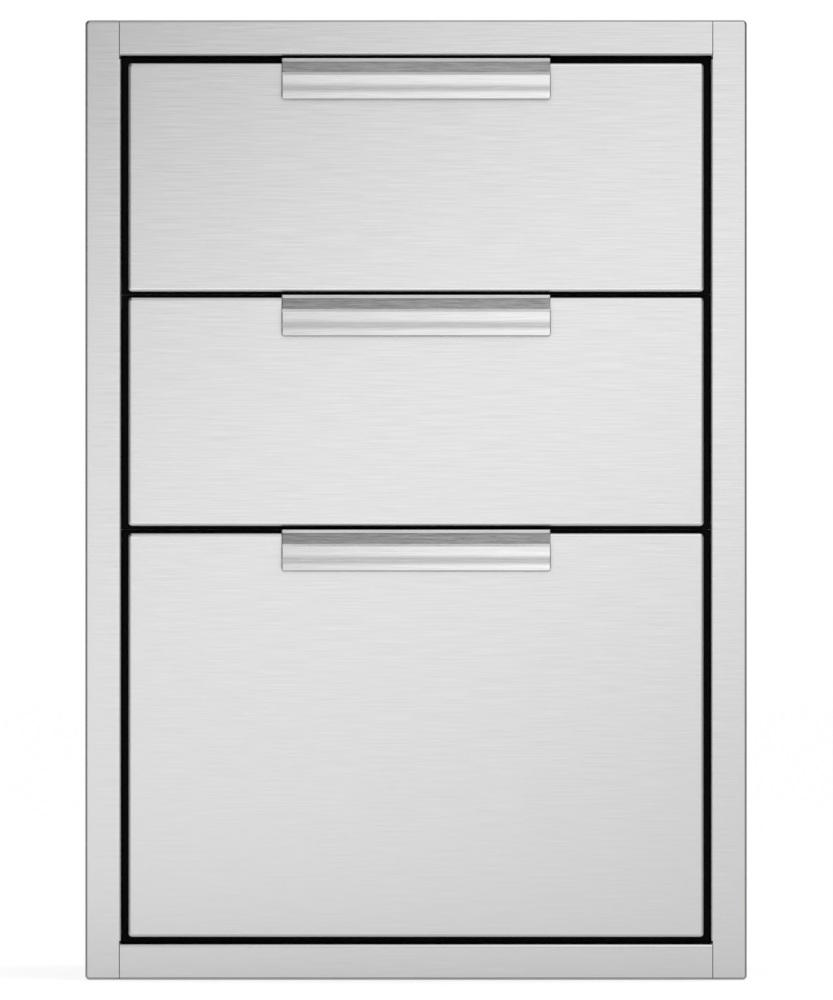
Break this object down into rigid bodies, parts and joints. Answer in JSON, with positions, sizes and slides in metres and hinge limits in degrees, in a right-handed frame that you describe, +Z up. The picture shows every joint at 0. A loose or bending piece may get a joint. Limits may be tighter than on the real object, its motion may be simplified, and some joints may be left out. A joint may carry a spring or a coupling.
{
  "type": "outdoor kitchen drawer unit",
  "caption": "Built-in drawer unit for an outdoor kitchen: inset brushed steel drawer fronts with bent pulls in a face frame, boxes on telescopic slides.",
  "frame": {"origin": "middle of the strip on which the bottom rail of the face frame bears, on the plane of the island's face", "axes": "+Z up, -Y the way the drawers open, +Y into the island, +X to the right seen from the front"},
  "size_m": [0.4064, 0.5418, 0.5894],
  "materials": {
    "brushed_steel": "stainless sheet with a fine horizontal brushing",
    "sheet_steel": "plain stainless sheet with a dull mill finish",
    "plated_steel": "rolled steel with bright zinc plating",
    "screw_steel": "turned stainless steel, smooth",
    "seal_rubber": "matt black rubber strip"
  },
  "bodies": {
    "cabinet": {"stile_left": "brushed_steel", "stile_right": "brushed_steel", "rail_bottom": "brushed_steel", "rail_top": "brushed_steel", "cabinet_side_left": "sheet_steel", "cabinet_side_right": "sheet_steel", "cabinet_bottom": "sheet_steel", "cabinet_top": "sheet_steel", "cabinet_back": "sheet_steel", "divider_upper": "sheet_steel", "divider_lower": "sheet_steel", "top_slide_left_cabinet_member": "plated_steel", "top_slide_right_cabinet_member": "plated_steel", "middle_slide_left_cabinet_member": "plated_steel", "middle_slide_right_cabinet_member": "plated_steel", "bottom_slide_left_cabinet_member": "plated_steel", "bottom_slide_right_cabinet_member": "plated_steel"},
    "top_drawer": {"top_front_skin": "brushed_steel", "top_front_liner": "sheet_steel", "top_front_seal": "seal_rubber", "top_pull": "brushed_steel", "top_pull_screw_left": "screw_steel", "top_pull_screw_right": "screw_steel", "top_drawer_tray": "sheet_steel", "top_drawer_front_wall": "sheet_steel", "top_drawer_back_wall": "sheet_steel", "top_slide_left_drawer_member": "plated_steel", "top_slide_right_drawer_member": "plated_steel"},
    "top_slide_middles": {"top_slide_left_middle_member": "plated_steel", "top_slide_right_middle_member": "plated_steel"},
    "middle_drawer": {"middle_front_skin": "brushed_steel", "middle_front_liner": "sheet_steel", "middle_front_seal": "seal_rubber", "middle_pull": "brushed_steel", "middle_pull_screw_left": "screw_steel", "middle_pull_screw_right": "screw_steel", "middle_drawer_tray": "sheet_steel", "middle_drawer_front_wall": "sheet_steel", "middle_drawer_back_wall": "sheet_steel", "middle_slide_left_drawer_member": "plated_steel", "middle_slide_right_drawer_member": "plated_steel"},
    "middle_slide_middles": {"middle_slide_left_middle_member": "plated_steel", "middle_slide_right_middle_member": "plated_steel"},
    "bottom_drawer": {"bottom_front_skin": "brushed_steel", "bottom_front_liner": "sheet_steel", "bottom_front_seal": "seal_rubber", "bottom_pull": "brushed_steel", "bottom_pull_screw_left": "screw_steel", "bottom_pull_screw_right": "screw_steel", "bottom_drawer_tray": "sheet_steel", "bottom_drawer_front_wall": "sheet_steel", "bottom_drawer_back_wall": "sheet_steel", "bottom_slide_left_drawer_member": "plated_steel", "bottom_slide_right_drawer_member": "plated_steel"},
    "bottom_slide_middles": {"bottom_slide_left_middle_member": "plated_steel", "bottom_slide_right_middle_member": "plated_steel"}
  },
  "joints": [
    {"name": "top_drawer_slide", "type": "slide", "parent": "cabinet", "child": "top_drawer", "axis": [0, -1, 0], "range_m": [0, 0.45]},
    {"name": "top_middles_slide", "type": "slide", "parent": "cabinet", "child": "top_slide_middles", "axis": [0, -1, 0], "range_m": [0, 0.225]},
    {"name": "middle_drawer_slide", "type": "slide", "parent": "cabinet", "child": "middle_drawer", "axis": [0, -1, 0], "range_m": [0, 0.45]},
    {"name": "middle_middles_slide", "type": "slide", "parent": "cabinet", "child": "middle_slide_middles", "axis": [0, -1, 0], "range_m": [0, 0.225]},
    {"name": "bottom_drawer_slide", "type": "slide", "parent": "cabinet", "child": "bottom_drawer", "axis": [0, -1, 0], "range_m": [0, 0.45]},
    {"name": "bottom_middles_slide", "type": "slide", "parent": "cabinet", "child": "bottom_slide_middles", "axis": [0, -1, 0], "range_m": [0, 0.225]}
  ],
  "couplings": [
    {"joint": "top_middles_slide", "follows": "top_drawer_slide", "ratio": 0.5},
    {"joint": "middle_middles_slide", "follows": "middle_drawer_slide", "ratio": 0.5},
    {"joint": "bottom_middles_slide", "follows": "bottom_drawer_slide", "ratio": 0.5}
  ]
}
